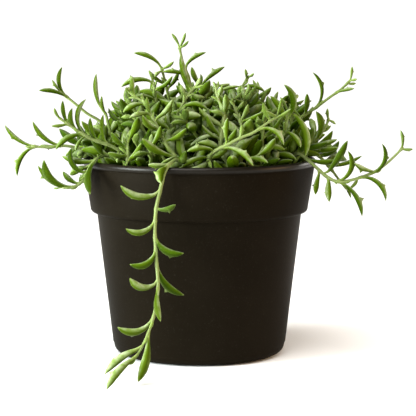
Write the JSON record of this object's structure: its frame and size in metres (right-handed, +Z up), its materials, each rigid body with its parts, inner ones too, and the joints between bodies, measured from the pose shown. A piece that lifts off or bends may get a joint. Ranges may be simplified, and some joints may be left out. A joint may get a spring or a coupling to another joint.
{
  "type": "potted string of dolphins",
  "caption": "Trailing succulent with crescent, finned leaves, mounded in a round plastic nursery pot with a deep collar; one stem hangs to the ground in front.",
  "frame": {"origin": "centre of the pot's flat underside, on the surface that it stands on", "axes": "+Z up along the pot's axis; -Y is the front, where the longest stem hangs to the ground; +X to the right seen from the front"},
  "size_m": [0.2621, 0.2401, 0.2125],
  "materials": {
    "pot_plastic": "satin",
    "potting_mix": "matte",
    "foliage": "satin"
  },
  "bodies": {
    "root": {"pot": "pot_plastic", "soil": "potting_mix", "stem_arch_left": "foliage", "stem_back_left": "foliage", "stem_back_right": "foliage", "stem_crown": "foliage", "stem_crown_left": "foliage", "stem_front": "foliage", "stem_front_left": "foliage", "stem_front_mid": "foliage", "stem_front_right": "foliage", "stem_left_drop": "foliage", "stem_left_long": "foliage", "stem_left_mid": "foliage", "stem_left_tall": "foliage", "stem_left_up": "foliage", "stem_mound_01": "foliage", "stem_mound_02": "foliage", "stem_mound_03": "foliage", "stem_mound_04": "foliage", "stem_mound_05": "foliage", "stem_mound_06": "foliage", "stem_mound_07": "foliage", "stem_mound_08": "foliage", "stem_mound_09": "foliage", "stem_mound_10": "foliage", "stem_mound_11": "foliage", "stem_mound_12": "foliage", "stem_mound_13": "foliage", "stem_mound_14": "foliage", "stem_mound_15": "foliage", "stem_mound_16": "foliage", "stem_mound_17": "foliage", "stem_mound_18": "foliage", "stem_right_blade": "foliage", "stem_right_drop": "foliage", "stem_right_long": "foliage", "stem_right_stub": "foliage", "stem_right_up": "foliage", "stem_slope_left": "foliage", "stem_slope_mid": "foliage", "stem_slope_right": "foliage", "stem_slope_up": "foliage", "stem_spire": "foliage", "stem_top_mid": "foliage", "stem_top_right": "foliage"}
  },
  "joints": []
}
